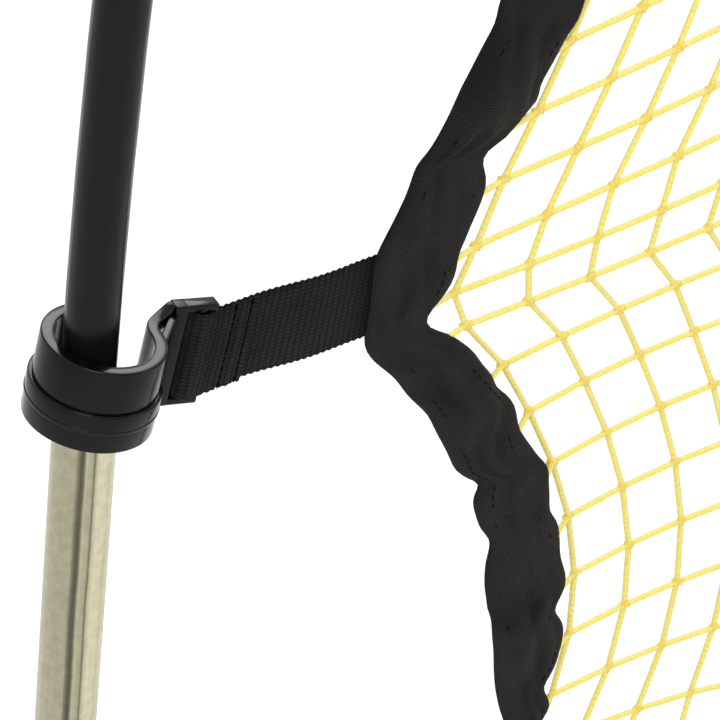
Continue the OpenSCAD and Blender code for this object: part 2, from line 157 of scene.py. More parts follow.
def noise(tree, place, scale, detail=2.0, stretch=None, turn=(0, 0, 0)):
    """Noise at a place, which may be turned and stretched first."""
    if stretch:
        place = add(tree, "ShaderNodeMapping", place, Rotation=turn, Scale=stretch)
    return add(tree, "ShaderNodeTexNoise", Vector=place, Scale=scale, Detail=detail)


def bumped(tree, height, strength, depth):
    """A surface that stands up by a height, depth metres for each 1."""
    return add(tree, "ShaderNodeBump", Strength=strength, Distance=depth, Height=height)


def mixed(tree, share, one, other, blend="MIX"):
    """A share of the way from one colour to another, or to the two blended."""
    return add(tree, "ShaderNodeMix", share, one, other, data_type="RGBA", blend_type=blend)


def node_group(name, kind, come, go):
    """An empty node group, with its inputs and its end. come and go name its sockets, each with its
    type, or with the number that a plain input starts from."""
    group = bpy.data.node_groups.new(name, kind)
    for way, sockets in (("INPUT", come), ("OUTPUT", go)):
        for label, value in sockets.items():
            sort = value if isinstance(value, str) else "Float"
            socket = group.interface.new_socket(name=label, in_out=way, socket_type="NodeSocket" + sort)
            if sort != value:
                socket.default_value = value
    return group, group.nodes.new("NodeGroupInput").outputs, group.nodes.new("NodeGroupOutput")


# a shader group: the way round a tube that runs along Z, fine lines along it, and a cloudy tone
tree, come, go = node_group("draw_lines", "ShaderNodeTree", {"Place": "Vector", "Seed": 0.0},
    {"Turn": "Float", "Lines": "Float", "Cloud": "Float"})
draw_lines = tree
split = outputs(tree, "ShaderNodeSeparateXYZ", come["Place"])
turn = scaled(tree, calc(tree, "ARCTAN2", split["Y"], split["X"]), 0, 1, -pi, pi)
unrolled = add(tree, "ShaderNodeCombineXYZ", turn, split["Z"], come["Seed"])
wire(tree, go, Turn=turn, Lines=noise(tree, unrolled, 1.0, 4.0, (160, 3, 1)),
    Cloud=noise(tree, unrolled, 1.0, 3.0, (3, 22, 1)))


def drawn_metal(name, centre, turn, reflection_tones, roughness, seed):
    """Bare drawn tube. centre and turn bring the tube's axis onto Z; the fourth argument lists painted
    reflections, long dark and bright streaks at fixed places round the tube, as (share of the way round,
    brightness)."""
    pale, streak_wander = (0.45, 0.43, 0.30), 0.02
    material, tree, shader = node_material(name, pale, roughness, Metallic=1.0)
    place = own_place(tree)
    own = add(tree, "ShaderNodeMapping", place, centre, turn, vector_type="TEXTURE")
    lines = outputs(tree, "ShaderNodeGroup", own, seed, node_tree=draw_lines)
    # painted reflections: a colour ramp round the tube gives its dark and bright streaks, which wander a little
    # along it
    ramp = tree.nodes.new("ShaderNodeValToRGB")
    spots = ramp.color_ramp.elements
    for share, tone in reflection_tones:
        spot = spots[0] if share == 0 else spots[-1] if share == 1 else spots.new(share)
        spot.color = (*[c * tone for c in pale], 1)
    wire(tree, ramp, calc(tree, "MULTIPLY_ADD", lines["Cloud"], streak_wander, lines["Turn"]))
    fine = scaled(tree, lines["Lines"], 0.86, 1.08, 0.3, 0.7)
    dull = scaled(tree, noise(tree, place, 330.0, 6.0), 0.9, 1.05, 0.35, 0.65)
    painted_reflections_and_lines = mixed(tree, 1.0, ramp.outputs["Color"], fine, "MULTIPLY")
    wire(tree, shader, Base_Color=mixed(tree, 1.0, painted_reflections_and_lines, dull, "MULTIPLY"),
        Roughness=scaled(tree, lines["Cloud"], roughness - 0.1, roughness + 0.14),
        Normal=bumped(tree, lines["Lines"], 0.2, 0.0003))
    return material


def finish_node(name, material):
    """Gives a CAD node's mesh one material."""
    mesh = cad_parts[name].data
    mesh.materials.clear()
    mesh.materials.append(material)


# Painted reflections: streaks run the length of each tube; a few places round it are painted dull, dark or
# bright, as reflections.
reflection_streaks = [(0.0, 0.92), (0.10, 0.80), (0.158, 0.80), (0.173, 0.42), (0.186, 0.20), (0.201, 0.30),
    (0.210, 0.96), (0.243, 0.84), (0.2525, 0.28), (0.262, 1.0), (0.28, 1.35), (0.37, 1.4), (0.45, 0.8),
    (0.60, 1.0), (0.68, 0.5), (0.74, 1.05), (0.88, 0.95), (1.0, 0.92)]
half_span, rail_axis, pole_lean = 0.450, 0.038, radians(2.5)
foot_out, foot_axis, quarter = 0.400, 0.016, radians(90)
for side, sign in (("left", -1), ("right", 1)):
    pole = drawn_metal("bare_pole_" + side, (sign * half_span, 0, rail_axis), (0, -sign * pole_lean, 0),
        reflection_streaks, 0.3, sign)
    foot = drawn_metal("bare_foot_" + side, (sign * foot_out, 0, foot_axis), (quarter, 0, 0), reflection_streaks, 0.32,
        3 + sign)
    for node, metal in (("lower_pole_", pole), ("pole_socket_", pole), ("foot_", foot)):
        finish_node(node + side, metal)
finish_node("base_rail", drawn_metal("bare_rail", (0, 0, rail_axis), (0, quarter, 0), reflection_streaks, 0.3, 7))

# Fasteners: carriage bolts, plain washers and lock nuts through rail and feet, in plated steel, and
# moulded spacers between the tubes; the feet and the rods' tips have rubber caps.
plated, tree, shader = node_material("plated_steel", (0.62, 0.64, 0.66), 0.28, Metallic=1.0)
wire(tree, shader, Roughness=scaled(tree, noise(tree, own_place(tree), 700.0, 3.0), 0.2, 0.42))
for name in ("pivot_bolts", "pivot_washers", "pivot_nuts"):
    finish_node(name, plated)


def moulded(name, base, roughness, grain, shine=0.3, bump_strength=0.15):
    """Moulded plastic or rubber with a fine grain and faint wear in its gloss."""
    material, tree, shader = node_material(name, base, roughness, Specular_IOR_Level=shine)
    place = own_place(tree)
    cloud = noise(tree, place, grain / 30)
    wire(tree, shader, Roughness=scaled(tree, cloud, roughness * 0.75, roughness * 1.3),
        Normal=bumped(tree, noise(tree, place, grain, 3.0), bump_strength, 0.0002))
    return material


spacer_plastic = moulded("spacer_plastic", (0.03, 0.03, 0.03), 0.5, 2500)
cap_rubber = moulded("cap_rubber", (0.018, 0.018, 0.018), 0.62, 1800, bump_strength=0.3)
finish_node("rail_spacers", spacer_plastic)
for name in ("foot_caps_left", "foot_caps_right", "rod_tip_cap_left", "rod_tip_cap_right"):
    finish_node(name, cap_rubber)

# Upper rods: smooth black rods, bowed by the net's pull and plugged into the bare tubes; their
# surface is glossy with faint lines along the rod.
rod_black, tree, shader = node_material("rod_black", (0.0060, 0.0054, 0.0046), 0.2, Specular_IOR_Level=0.14)
lines = noise(tree, own_place(tree), 1.0, 3.0, (500, 500, 9))
wire(tree, shader, Roughness=scaled(tree, lines, 0.16, 0.34), Normal=bumped(tree, lines, 0.12, 0.0003))
for name in ("upper_rod_left", "upper_rod_right"):
    finish_node(name, rod_black)


# Hook clips: one-piece moulded C-hooks. A tall open ring slips over the pole, its free end turns
# out in a lip, and a strut and bracket carry the bar that the strap is sewn round.
ring_radius, ring_wall, ring_height, ring_lift = 0.0185, 0.0040, 0.0275, 0.0014
bar_distance, bar_radius, strap_line = 0.0355, 0.0025, 0.010
window_height, arm_height, arm_width, arm_end = 0.0306, 0.0024, 0.0048, 0.0404
post_left, post_width, strut_wall = 0.0260, 0.0046, 0.0026
joint_height, corner_height, clip_tilt = 0.400, 0.088, radians(11)
# how far each clip sits from its pole's axis, towards the net
side_slack, low_slack = 0.0026, 0.0033


def pole_axis(z):
    """x of the left lower pole's axis at height z."""
    return -half_span + (z - rail_axis) * tan(pole_lean)


def new_object(name, mesh, material):
    """A piece with its place in its mesh."""
    mesh.materials.append(material)
    piece = bpy.data.objects.new(name, mesh)
    scene.collection.objects.link(piece)
    return piece


def mesh_from(form, name):
    """The finished mesh of a form."""
    mesh = bpy.data.meshes.new(name)
    form.to_mesh(mesh)
    form.free()
    return mesh


def settle(piece):
    """Applies the live modifiers, turns the faces outwards and smooths them."""
    graph = bpy.context.evaluated_depsgraph_get()
    mesh = bpy.data.meshes.new_from_object(piece.evaluated_get(graph))
    piece.modifiers.clear()
    old = piece.data
    piece.data = mesh
    bpy.data.meshes.remove(old)
    form = bmesh.new()
    form.from_mesh(mesh)
    bmesh.ops.remove_doubles(form, verts=form.verts, dist=1e-6)
    bmesh.ops.recalc_face_normals(form, faces=form.faces)
    form.to_mesh(mesh)
    form.free()
    for face in mesh.polygons:
        face.use_smooth = True
    return piece


def spaced(start, end, steps):
    """Values at even steps from start to end."""
    return [start + (end - start) * i / steps for i in range(steps + 1)]


def arc(radius, start, end, steps):
    """Places on a circle from one angle to another, in degrees."""
    turns = [radians(turn) for turn in spaced(start, end, steps)]
    return [Vector((cos(turn), sin(turn))) * radius for turn in turns]


def raise_wall(form, line, thickness, low, high):
    """Adds a closed wall along its centre line; its thickness, foot and top are given by the share of
    the way along."""
    rings, last = [], len(line) - 1
    for i, point in enumerate(line):
        along = (line[min(i + 1, last)] - line[max(i - 1, 0)]).normalized()
        t = i / last
        out = Vector((along.y, -along.x)) * thickness(t) / 2
        rings.append([form.verts.new((*(point + side * out), z)) for side, z in
            ((1, low(t)), (-1, low(t)), (-1, high(t)), (1, high(t)))])
    for r0, r1 in zip(rings, rings[1:]):
        for k in range(4):
            form.faces.new((r0[k], r0[(k + 1) % 4], r1[(k + 1) % 4], r1[k]))
    form.faces.new(rings[0][::-1])
    form.faces.new(rings[-1])


def block(form, low, high):
    """Adds a closed box."""
    for vert in bmesh.ops.create_cube(form, size=1)["verts"]:
        vert.co = Vector([lo + (c + 0.5) * (hi - lo) for c, lo, hi in zip(vert.co, low, high)])


def clip_mesh(name):
    """The moulded clip about its own ring, ring axis along Z, strap to +X."""
    # the ring opens on the strap's side; its free end turns out, thins and rises in the lip
    line = arc(ring_radius - ring_wall / 2, 86, 362, 70)
    line += [Vector(p) for p in ((0.01665, 0.0020), (0.01705, 0.0036), (0.0179, 0.0052), (0.0192, 0.0065),
        (0.0208, 0.0076), (0.0225, 0.0086), (0.0243, 0.0096), (0.0262, 0.0104))]
    form = bmesh.new()
    bottom, top = ring_lift - ring_height / 2, ring_lift + ring_height / 2
    raise_wall(form, line, lambda t: ring_wall - 0.0006 * max(0, (t - 0.85) / 0.15),
        lambda t: bottom, lambda t: top + 0.0026 * max(0, (t - 0.93) / 0.07) ** 2)
    strut_start, strut_end = Vector((0.0165, -0.0045)), Vector((post_left + 0.0014, strap_line))
    raise_wall(form, [strut_start.lerp(strut_end, t) for t in spaced(0, 1, 6)], lambda t: strut_wall,
        lambda t: bottom + 0.0004 - 0.003 * t, lambda t: top - 0.0006 + 0.0008 * t)
    # a web fills the corner between lip, ring and strut, a little below their tops
    outline = ((0.0166, -0.0040), (0.0172, 0.0030), (0.0192, 0.0062), (0.0225, 0.0083),
        (post_left + 0.001, strap_line), (post_left + 0.001, strap_line - 0.0016))
    web = [form.verts.new((x, y, z)) for z in (bottom + 0.0012, top - 0.0016) for x, y in outline]
    form.faces.new(web[:6][::-1])
    form.faces.new(web[6:])
    for k in range(6):
        form.faces.new((web[k], web[(k + 1) % 6], web[6 + (k + 1) % 6], web[6 + k]))
    half = window_height / 2
    y0, y1 = strap_line - arm_width / 2, strap_line + arm_width / 2
    block(form, (post_left, y0, -half - arm_height), (post_left + post_width, y1, half + arm_height))
    for sign in (-1, 1):
        z0, z1 = sorted((sign * half, sign * (half + arm_height)))
        block(form, (post_left + 0.0003, y0 + 0.0001, z0), (arm_end, y1 - 0.0001, z1))
    return mesh_from(form, name)


def band_and_bar(name):
    """The thicker foot of the ring with the fine lines round it, and the strap's bar."""
    form = bmesh.new()
    foot, step = ring_lift - ring_height / 2 + 0.0006, ring_lift - 0.0004
    for low, high, proud in ((foot, step, 0.0009), (step - 0.0066, step - 0.0002, 0.0012),
            (step - 0.0061, step - 0.0051, 0.00138)):
        inner, outer = ring_radius - 0.0012, ring_radius + proud
        raise_wall(form, arc((inner + outer) / 2, 88, 342, 64), lambda t: outer - inner, lambda t: low,
            lambda t: high)
    made = bmesh.ops.create_cone(form, cap_ends=True, segments=24, radius1=bar_radius, radius2=bar_radius,
        depth=window_height + arm_height)["verts"]
    bmesh.ops.translate(form, verts=made, vec=(bar_distance, strap_line, 0))
    return mesh_from(form, name)


hook_plastic = moulded("hook_plastic", (0.0030, 0.0025, 0.0020), 0.15, 2200, shine=0.17, bump_strength=0.04)
side_place = Matrix.Translation((pole_axis(joint_height) + side_slack, 0,
    joint_height + bar_distance * sin(clip_tilt))) @ Matrix.Rotation(clip_tilt, 4, "Y")
low_place = Matrix.Translation((pole_axis(corner_height) + low_slack, 0, corner_height))
rail_place = Matrix.Translation((0, 0, rail_axis + low_slack)) @ Matrix.Rotation(-quarter, 4, "Y")
mirror = Matrix.Scale(-1, 4, (1, 0, 0))
clips = {"side_clip_left": side_place, "side_clip_right": mirror @ side_place, "low_clip_left": low_place,
    "low_clip_right": mirror @ low_place, "rail_clip": rail_place}
for clip_name, place in clips.items():
    joined = bmesh.new()
    for mesh, width in ((clip_mesh(clip_name + "_hook"), 0.00055), (band_and_bar(clip_name + "_band"), 0.0003)):
        part = new_object(mesh.name, mesh, hook_plastic)
        rounded = part.modifiers.new("rounded", "BEVEL")
        rounded.width = width
        rounded.segments = 3
        rounded.angle_limit = radians(40)
        joined.from_mesh(settle(part).data)
        bpy.data.objects.remove(part)
    bmesh.ops.transform(joined, matrix=place, verts=joined.verts)
    bmesh.ops.recalc_face_normals(joined, faces=joined.faces)
    clip = new_object(clip_name + "_moulding", mesh_from(joined, clip_name + "_moulding"), hook_plastic)
    for face in clip.data.polygons:
        face.use_smooth = True
    clip.data.set_sharp_from_angle(angle=radians(50))
    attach(clip, clip_name)
    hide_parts(clip_name)


# Straps: flat woven webbing sewn back on itself round the clip's bar, with two rows of stitches,
# its other end sewn under the hem.
strap_width, strap_thick, strap_reach, under_hem, side_lift = 0.030, 0.0015, 0.096, 0.014, 0.004
bar_gap, sewn_back, stitch_rows = 0.0003, 0.0185, (0.0114, 0.0168)
# stitches: from one to the next, length, and radius of the thread
strap_stitch, hem_stitch = (0.003, 0.0029, 0.00042), (0.0035, 0.0028, 0.0002)

# a shader group: height and shade of a plain weave, from a place in metres on a piece's own UV map
tree, come, go = node_group("weave", "ShaderNodeTree", {"Across": 1.0, "Along": 1.0, "Jitter": 0.3,
    "Place": "Vector"}, {"Height": "Float", "Shade": "Float"})
weave = tree
wobble = noise(tree, come["Place"], 180.0)
split = outputs(tree, "ShaderNodeSeparateXYZ", come["Place"])
ridges = []
for axis, label in (("X", "Across"), ("Y", "Along")):
    threads = calc(tree, "MULTIPLY", split[axis], come[label])
    threads = calc(tree, "MULTIPLY_ADD", wobble, come["Jitter"], threads)
    ridges.append(calc(tree, "SINE", calc(tree, "MULTIPLY", threads, pi)))
# each crossing of two threads is a rounded bump
height = calc(tree, "POWER", calc(tree, "ABSOLUTE", calc(tree, "MULTIPLY", *ridges)), 0.5)
wire(tree, go, Height=height, Shade=calc(tree, "MULTIPLY", height, noise(tree, come["Place"], 45.0, 3.0)))


def woven(name, dark, pale, across, along, depth, roughness=0.8, sheen=0.02, fold_shade=0.1):
    """Woven cloth or webbing: threads per metre across and along, read from the piece's UV map; the last
    argument sets how strongly painted fold shade darkens and lightens it.
    """
    material, tree, shader = node_material(name, dark, roughness, Sheen_Weight=sheen, Sheen_Roughness=0.5,
        Specular_IOR_Level=0.12)
    place = add(tree, "ShaderNodeUVMap", uv_map="cloth")
    cloth = outputs(tree, "ShaderNodeGroup", node_tree=weave, Across=across, Along=along, Place=place)
    # painted fold shade: soft slanting bands make the cloth darker and paler, standing for the light and shade
    # on its folds
    fold_shade_bands = noise(tree, place, 1.0, 2.0, (22, 60, 1), (0, 0, radians(35)))
    shade = calc(tree, "MULTIPLY", cloth["Shade"], scaled(tree, fold_shade_bands, 1 - fold_shade, 1 + fold_shade, 0.35, 0.65))
    wire(tree, shader, Base_Color=mixed(tree, shade, (*dark, 1), (*pale, 1)),
        Normal=bumped(tree, cloth["Height"], 1.0, depth))
    return material


webbing = woven("webbing", (0.0018, 0.0017, 0.0015), (0.032, 0.030, 0.027), 476, 740, 0.0007)
thread_black = moulded("thread_black", (0.0012, 0.0012, 0.0012), 0.8, 3000, shine=0.03)


def unit(s):
    """s held between 0 and 1."""
    return max(0.0, min(1.0, s))


def mapped_face(form, uv, corners):
    """Adds a face with its place on the UV map, from (vertex, u, v) for each corner."""
    face = form.faces.new([vert for vert, u, v in corners])
    for loop, (vert, u, v) in zip(face.loops, corners):
        loop[uv].uv = (u, v)


def skin(form, uv, rings):
    """Adds the faces of a tube through rings of (vertex, u, v)."""
    for r0, r1 in zip(rings, rings[1:]):
        for k in range(len(r0)):
            after = (k + 1) % len(r0)
            mapped_face(form, uv, (r0[k], r0[after], r1[after], r1[k]))


def ribbon(form, path, half_width, thick, uv, serrated=0.0):
    """A closed flat band along a path of (place, height direction) and its UV map in metres; woven
    edges are serrated where the cross threads turn."""
    steps_across, thread_pitch = 10, 0.0021
    run = 0.0
    rings = []
    for i, (point, rise) in enumerate(path):
        ahead = path[min(i + 1, len(path) - 1)][0] - path[max(i - 1, 0)][0]
        out = ahead.normalized().cross(rise).normalized()
        if i:
            run += (point - path[i - 1][0]).length
        front, behind = [], []
        for k in range(steps_across + 1):
            s = k / steps_across * 2 - 1
            edge = thick / 2 * (1 - 0.55 * abs(s) ** 8)
            tooth = serrated * sin(2 * pi * run / thread_pitch) * s ** 9
            base = point + rise * (s * half_width + tooth)
            front.append((form.verts.new(base + out * edge), run, s * half_width))
            behind.append((form.verts.new(base - out * edge), run, s * half_width))
        rings.append(front + behind[::-1])
    skin(form, uv, rings)
    count = len(rings[0])
    for ring in (rings[0][::-1], rings[-1]):
        for k in range(count // 2 - 1):
            mapped_face(form, uv, (ring[k], ring[k + 1], ring[count - 2 - k], ring[count - 1 - k]))


def strap_piece(name, end, tilt, lift, place):
    """One strap with its bar at the origin, its run to +X; then moved to its place. Also gives the
    ends of its rows of stitches and the length that it is cut to."""
    form = bmesh.new()
    uv = form.loops.layers.uv.new("cloth")
    # the two layers meet this far from the bar, and the loop starts and ends there
    meet, loop_start, loop_turn = 0.006, -62, 236
    start, finish = Vector((cos(tilt), 0, -sin(tilt))) * meet, Vector((end, 0, lift))

    def run_at(length):
        """Middle line and height direction of the run, by distance from the bar."""
        t = unit((length - meet) / (end - meet))
        turn = tilt + (atan2(lift, end) * 1.4 - tilt) * t if tilt else 0.0
        ripple = 0.0007 * sin(9 * t) * t * (1 - t) * 4
        return start.lerp(finish, t) + Vector((0, ripple, 0)), Vector((sin(turn), 0, cos(turn)))

    lean = run_at(0)[1]
    level = start.normalized()
    radius = bar_radius + bar_gap + strap_thick / 2
    path = []
    # the sewn-back end lies in front and dips under its stitches; then the loop goes round the bar
    for length in spaced(sewn_back, meet, 48):
        spot, rise = run_at(length)
        dent = sum(exp(-((length - row) / 0.0009) ** 2) for row in stitch_rows)
        path.append((spot + Vector((0, -strap_thick * (0.98 - 0.5 * dent), 0)), rise))
    for x, y in arc(radius, loop_start, loop_start - loop_turn, 14):
        path.append((level * x + Vector((0, y, 0)), lean))
    path += [run_at(length) for length in spaced(meet, end, 170)]
    ribbon(form, path, strap_width / 2, strap_thick * 0.96, uv, serrated=0.00025)
    piece = new_object(name, mesh_from(form, name), webbing)
    piece.data.transform(place)
    rows = []
    for length in stitch_rows:
        spot, rise = run_at(length)
        rows.append([place @ (spot + rise * (strap_width * 0.46 * side) + Vector((0, -strap_thick * 1.02, 0)))
            for side in (-1, 1)])
    cut_length = 2 * pi * radius * loop_turn / 360 + sewn_back + end - 2 * meet
    return settle(piece), rows, cut_length


def painted(tree, go, geometry, material):
    """Ends a geometry nodes tree with real, smooth faces in one material."""
    smooth = add(tree, "GeometryNodeSetShadeSmooth", add(tree, "GeometryNodeRealizeInstances", geometry))
    wire(tree, go, add(tree, "GeometryNodeSetMaterial", smooth, Material=material))


# geometry nodes: stitches of a given length and width along each line
tree, come, go = node_group("sewn_rows", "GeometryNodeTree", {"Geometry": "Geometry", "Stitch Pitch": 0.003,
    "Stitch Length": 0.0022, "Thread Radius": 0.0003, "Thread Material": "Material"}, {"Geometry": "Geometry"})
sewn_rows = tree
line = add(tree, "GeometryNodeMeshToCurve", come["Geometry"])
spots = outputs(tree, "GeometryNodeCurveToPoints", line, mode="LENGTH", Length=come["Stitch Pitch"])
ball = add(tree, "GeometryNodeMeshUVSphere", Segments=6, Rings=4, Radius=1.0)
turn = add(tree, "FunctionNodeAlignRotationToVector", axis="Z", Vector=spots["Tangent"])
size = add(tree, "ShaderNodeCombineXYZ", come["Thread Radius"], come["Thread Radius"],
    calc(tree, "MULTIPLY", come["Stitch Length"], 0.5))
stitches = add(tree, "GeometryNodeInstanceOnPoints", spots["Points"], Instance=ball, Rotation=turn, Scale=size)
painted(tree, go, stitches, come["Thread Material"])


def grown(name, verts, edges, tree, values, girths=()):
    """A plain mesh piece grown by a geometry nodes tree on lines and points."""
    mesh = bpy.data.meshes.new(name)
    mesh.from_pydata(verts, edges, [])
    if girths:
        mesh.attributes.new("girth", "FLOAT", "POINT").data.foreach_set("value", girths)
    piece = bpy.data.objects.new(name, mesh)
    scene.collection.objects.link(piece)
    grow = piece.modifiers.new("grow", "NODES")
    grow.node_group = tree
    sockets = {s.name: s.identifier for s in tree.interface.items_tree if s.in_out == "INPUT"}
    for label, value in values.items():
        grow[sockets[label]] = value
    made = bpy.data.meshes.new_from_object(piece.evaluated_get(bpy.context.evaluated_depsgraph_get()))
    piece.modifiers.clear()
    piece.data = made
    bpy.data.meshes.remove(mesh)
    return piece


def sewn(name, lines, body, pitch, length, radius, thread=thread_black):
    """Rows of stitches along lines of points, riding on a body."""
    verts, edges = [], []
    for points in lines:
        start = len(verts)
        verts += points
        edges += [(start + i, start + i + 1) for i in range(len(points) - 1)]
    piece = grown(name, verts, edges, sewn_rows, {"Stitch Pitch": pitch, "Stitch Length": length,
        "Thread Radius": radius, "Thread Material": thread})
    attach(piece, body)
    return piece


side_bar = pole_axis(joint_height) + side_slack + bar_distance * cos(clip_tilt)
side_edge = pole_axis(joint_height) + strap_reach
low_bar = pole_axis(corner_height) + low_slack + bar_distance
low_edge = pole_axis(corner_height) + strap_reach
rail_bar = rail_axis + low_slack + bar_distance
rail_edge = rail_axis + strap_reach
side_spot = Matrix.Translation((side_bar, strap_line, joint_height))
low_spot = Matrix.Translation((low_bar, strap_line, corner_height))
rail_spot = Matrix.Translation((0, strap_line, rail_bar)) @ Matrix.Rotation(-quarter, 4, "Y")
side_run, low_run, rail_run = (edge + under_hem - bar for edge, bar in
    ((side_edge, side_bar), (low_edge, low_bar), (rail_edge, rail_bar)))
straps = {"side_strap_left": (side_run, clip_tilt, side_lift, side_spot),
    "side_strap_right": (side_run, clip_tilt, side_lift, mirror @ side_spot),
    "low_strap_left": (low_run, 0.0, 0.0, low_spot),
    "low_strap_right": (low_run, 0.0, 0.0, mirror @ low_spot),
    "rail_strap": (rail_run, 0.0, 0.0, rail_spot)}
for strap_name, values in straps.items():
    strap, rows, cut_length = strap_piece(strap_name + "_webbing", *values)
    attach(strap, strap_name)
    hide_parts(strap_name)
    stitches = sewn(strap_name + "_stitches", rows, strap_name, *strap_stitch)


# Hem: black woven cloth strips, folded over the net's edge and sewn. Each edge is pulled to a point
# by its strap and curves in between, and the cloth puckers and creases where it is pulled.
hem_width, hem_thick, gap, mesh_size = 0.030, 0.0024, 0.0003, 0.025
bow_radius, rod_length, pocket_radius = 3.000, 0.600, 0.0110
side_dip_up, side_dip_low, top_dip, bottom_dip, low_skew = 0.066, 0.063, 0.060, 0.045, 1.15
strap_front = strap_line - strap_thick / 2
hem_back = strap_front - gap
half_strap = strap_width / 2
bow_centre = (pole_axis(joint_height) + bow_radius * cos(pole_lean),
    joint_height - bow_radius * sin(pole_lean))
tip_turn = pole_lean + rod_length / bow_radius


def bow_point(turn):
    """x and z of the left rod's axis at an angle of its bow."""
    return (bow_centre[0] - bow_radius * cos(turn), bow_centre[1] + bow_radius * sin(turn))


tip = bow_point(tip_turn)
top_x, top_z = tip[0] + pocket_radius + 0.002, tip[1] - 0.008
cusp_height = joint_height + side_lift
low_z = corner_height - half_strap
flat_share = half_strap / (2 * abs(low_edge))


def dip(s, power):
    """0 at both ends of an edge and 1 in its middle."""
    return 1 - abs(2 * s - 1) ** power


def side_out(z):
    """x of the left hem's outer edge."""
    if z >= cusp_height:
        s = unit((z - cusp_height - half_strap) / (top_z - cusp_height - half_strap))
        return side_edge + (top_x - side_edge) * s + side_dip_up * dip(s, 2)
    s = unit((cusp_height - half_strap - z) / (cusp_height - corner_height - strap_width))
    return side_edge + (low_edge - side_edge) * s + side_dip_low * dip(s ** low_skew, 2)


def top_out(u):
    """Height of the top hem's outer edge at a share of the width."""
    return top_z - top_dip * dip(u, 2)


def bottom_out(u):
    """Height of the bottom hem's outer edge at a share of the width."""
    s = unit(min(u, 1 - u) / (0.5 - flat_share))
    return (corner_height - half_strap + (rail_edge - corner_height + half_strap) * s
        + bottom_dip * dip(s, 3))


# Where threads and straps pull on the cloth its edges run in or bulge out: height of each place, how
# far the edge goes towards the net there, and how much of the edge goes with it, in metres.
strap_pull = (0.390, -0.011, 0.0090)
outer_pulls = [(0.495, 0.0022, 0.009), (0.449, -0.0022, 0.007), (0.384, -0.0028, 0.008), (0.350, 0.0026, 0.008),
    (0.334, 0.0022, 0.006), (0.317, 0.0076, 0.0050), (0.303, 0.0012, 0.006), (0.289, 0.0050, 0.004),
    (0.268, -0.0022, 0.009), (0.198, 0.0155, 0.022)]
inner_pulls = [strap_pull, (0.490, 0.0034, 0.010), (0.463, 0.0020, 0.003), (0.446, -0.0090, 0.006),
    (0.419, 0.0020, 0.005), (0.347, 0.0026, 0.008), (0.314, 0.0026, 0.005), (0.298, -0.0014, 0.006),
    (0.274, -0.0020, 0.008), (0.250, -0.0056, 0.007), (0.215, -0.0026, 0.007), (0.203, 0.0034, 0.005)]


def chance_pulls(seed, low, high):
    """More of them, from a fixed seed, between two heights."""
    chance = random.Random(seed)
    made, height = [], low
    while height < high:
        made.append((height, chance.uniform(-0.0045, 0.0045), chance.uniform(0.005, 0.009)))
        height += chance.uniform(0.014, 0.034)
    return made


def pulled(pulls, height):
    """How far the edge goes towards the net at a height."""
    return sum(shift * exp(-abs((height - place) / spread) ** 1.4) for place, shift, spread in pulls)


# points over the cloth's width and its two sewn lines; the simulation cuts the cloth longer by ease
steps_over, seam_lines, cloth_layer, ease = 12, (1 / 6, 5 / 6), 0.0006, 0.06
seam_lift, seam_proud, frames = 0.00015, 0.00014, 26
# how firmly the cloth is held: where it is sewn fast, at the net's knots, and along its edges
held_fast, held_knot, held_edge, end_rows = 1.0, 0.9, 0.3, 5


def crease(run, across, seed):
    """How far the cloth stands forward at a place on the hem, in metres: fine slanting wrinkles, and
    two sewn lines that hold the cloth down."""
    fine = sin(run * 240 + across * 5.0 + seed * 2) * sin(run * 97 - across * 3.1 + seed)
    slant = sin(run * 151 - across * 7.5 + 1.7 * seed) ** 3
    sewn_down = sum(exp(-((across - line) / 0.05) ** 2) for line in seam_lines)
    return sin(pi * across) ** 0.6 * (0.00025 * fine + 0.0002 * slant) - 0.0003 * sewn_down


def gathered(points, held, seed):
    """Lets a strip of points, steps_over + 1 to a row, find its folds as cloth cut longer than the edge
    it is sewn to. held gives the strength of the hold on each point."""
    width = steps_over + 1
    mesh = bpy.data.meshes.new("gathering")
    quads = [(a, a + 1, a + width + 1, a + width) for start in range(0, len(points) - width, width)
        for a in range(start, start + steps_over)]
    start = [p + Vector((0, 0.0005 * sin(300 * (p.x + p.z) + 0.9 * i + seed), 0))
        for i, p in enumerate(points)]
    mesh.from_pydata(start, [], quads)
    strip = bpy.data.objects.new("gathering", mesh)
    scene.collection.objects.link(strip)
    group = strip.vertex_groups.new(name="held")
    for i, weight in enumerate(held):
        if weight:
            group.add([i], weight, "REPLACE")
    cloth = strip.modifiers.new("cloth", "CLOTH")
    setting = cloth.settings
    setting.quality, setting.mass, setting.air_damping = 6, 0.15, 3
    setting.tension_stiffness = setting.compression_stiffness = 15
    setting.shear_stiffness, setting.bending_stiffness = 5, 1.2
    setting.shrink_min = setting.shrink_max = -ease
    setting.vertex_group_mass = "held"
    setting.effector_weights.gravity = 0
    cloth.collision_settings.use_collision = False
    cloth.point_cache.frame_start, cloth.point_cache.frame_end = 1, 30
    for frame_number in range(1, frames + 1):
        scene.frame_set(frame_number)
    made = strip.evaluated_get(bpy.context.evaluated_depsgraph_get()).to_mesh()
    # a point at the edges moves by at most edge_move, one in the middle by fold_move more; behind the
    # cloth lie the net and straps, so folds stand forward and give way backwards only a little
    edge_move, fold_move, give = 0.0016, 0.0044, 0.0006
    folded = []
    for i, (vert, was) in enumerate(zip(made.vertices, points)):
        inside = 1 - abs(2 * (i % width) / steps_over - 1) ** 3
        move = vert.co - was
        move *= min(1, (edge_move + fold_move * inside) / max(move.length, 1e-9))
        move.y *= 0.3 + 0.7 * inside
        folded.append(was + Vector((move.x, move.y if move.y < 0 else give * tanh(move.y / give), move.z)))
    bpy.data.objects.remove(strip)
    bpy.data.meshes.remove(mesh)
    scene.frame_set(1)
    return folded


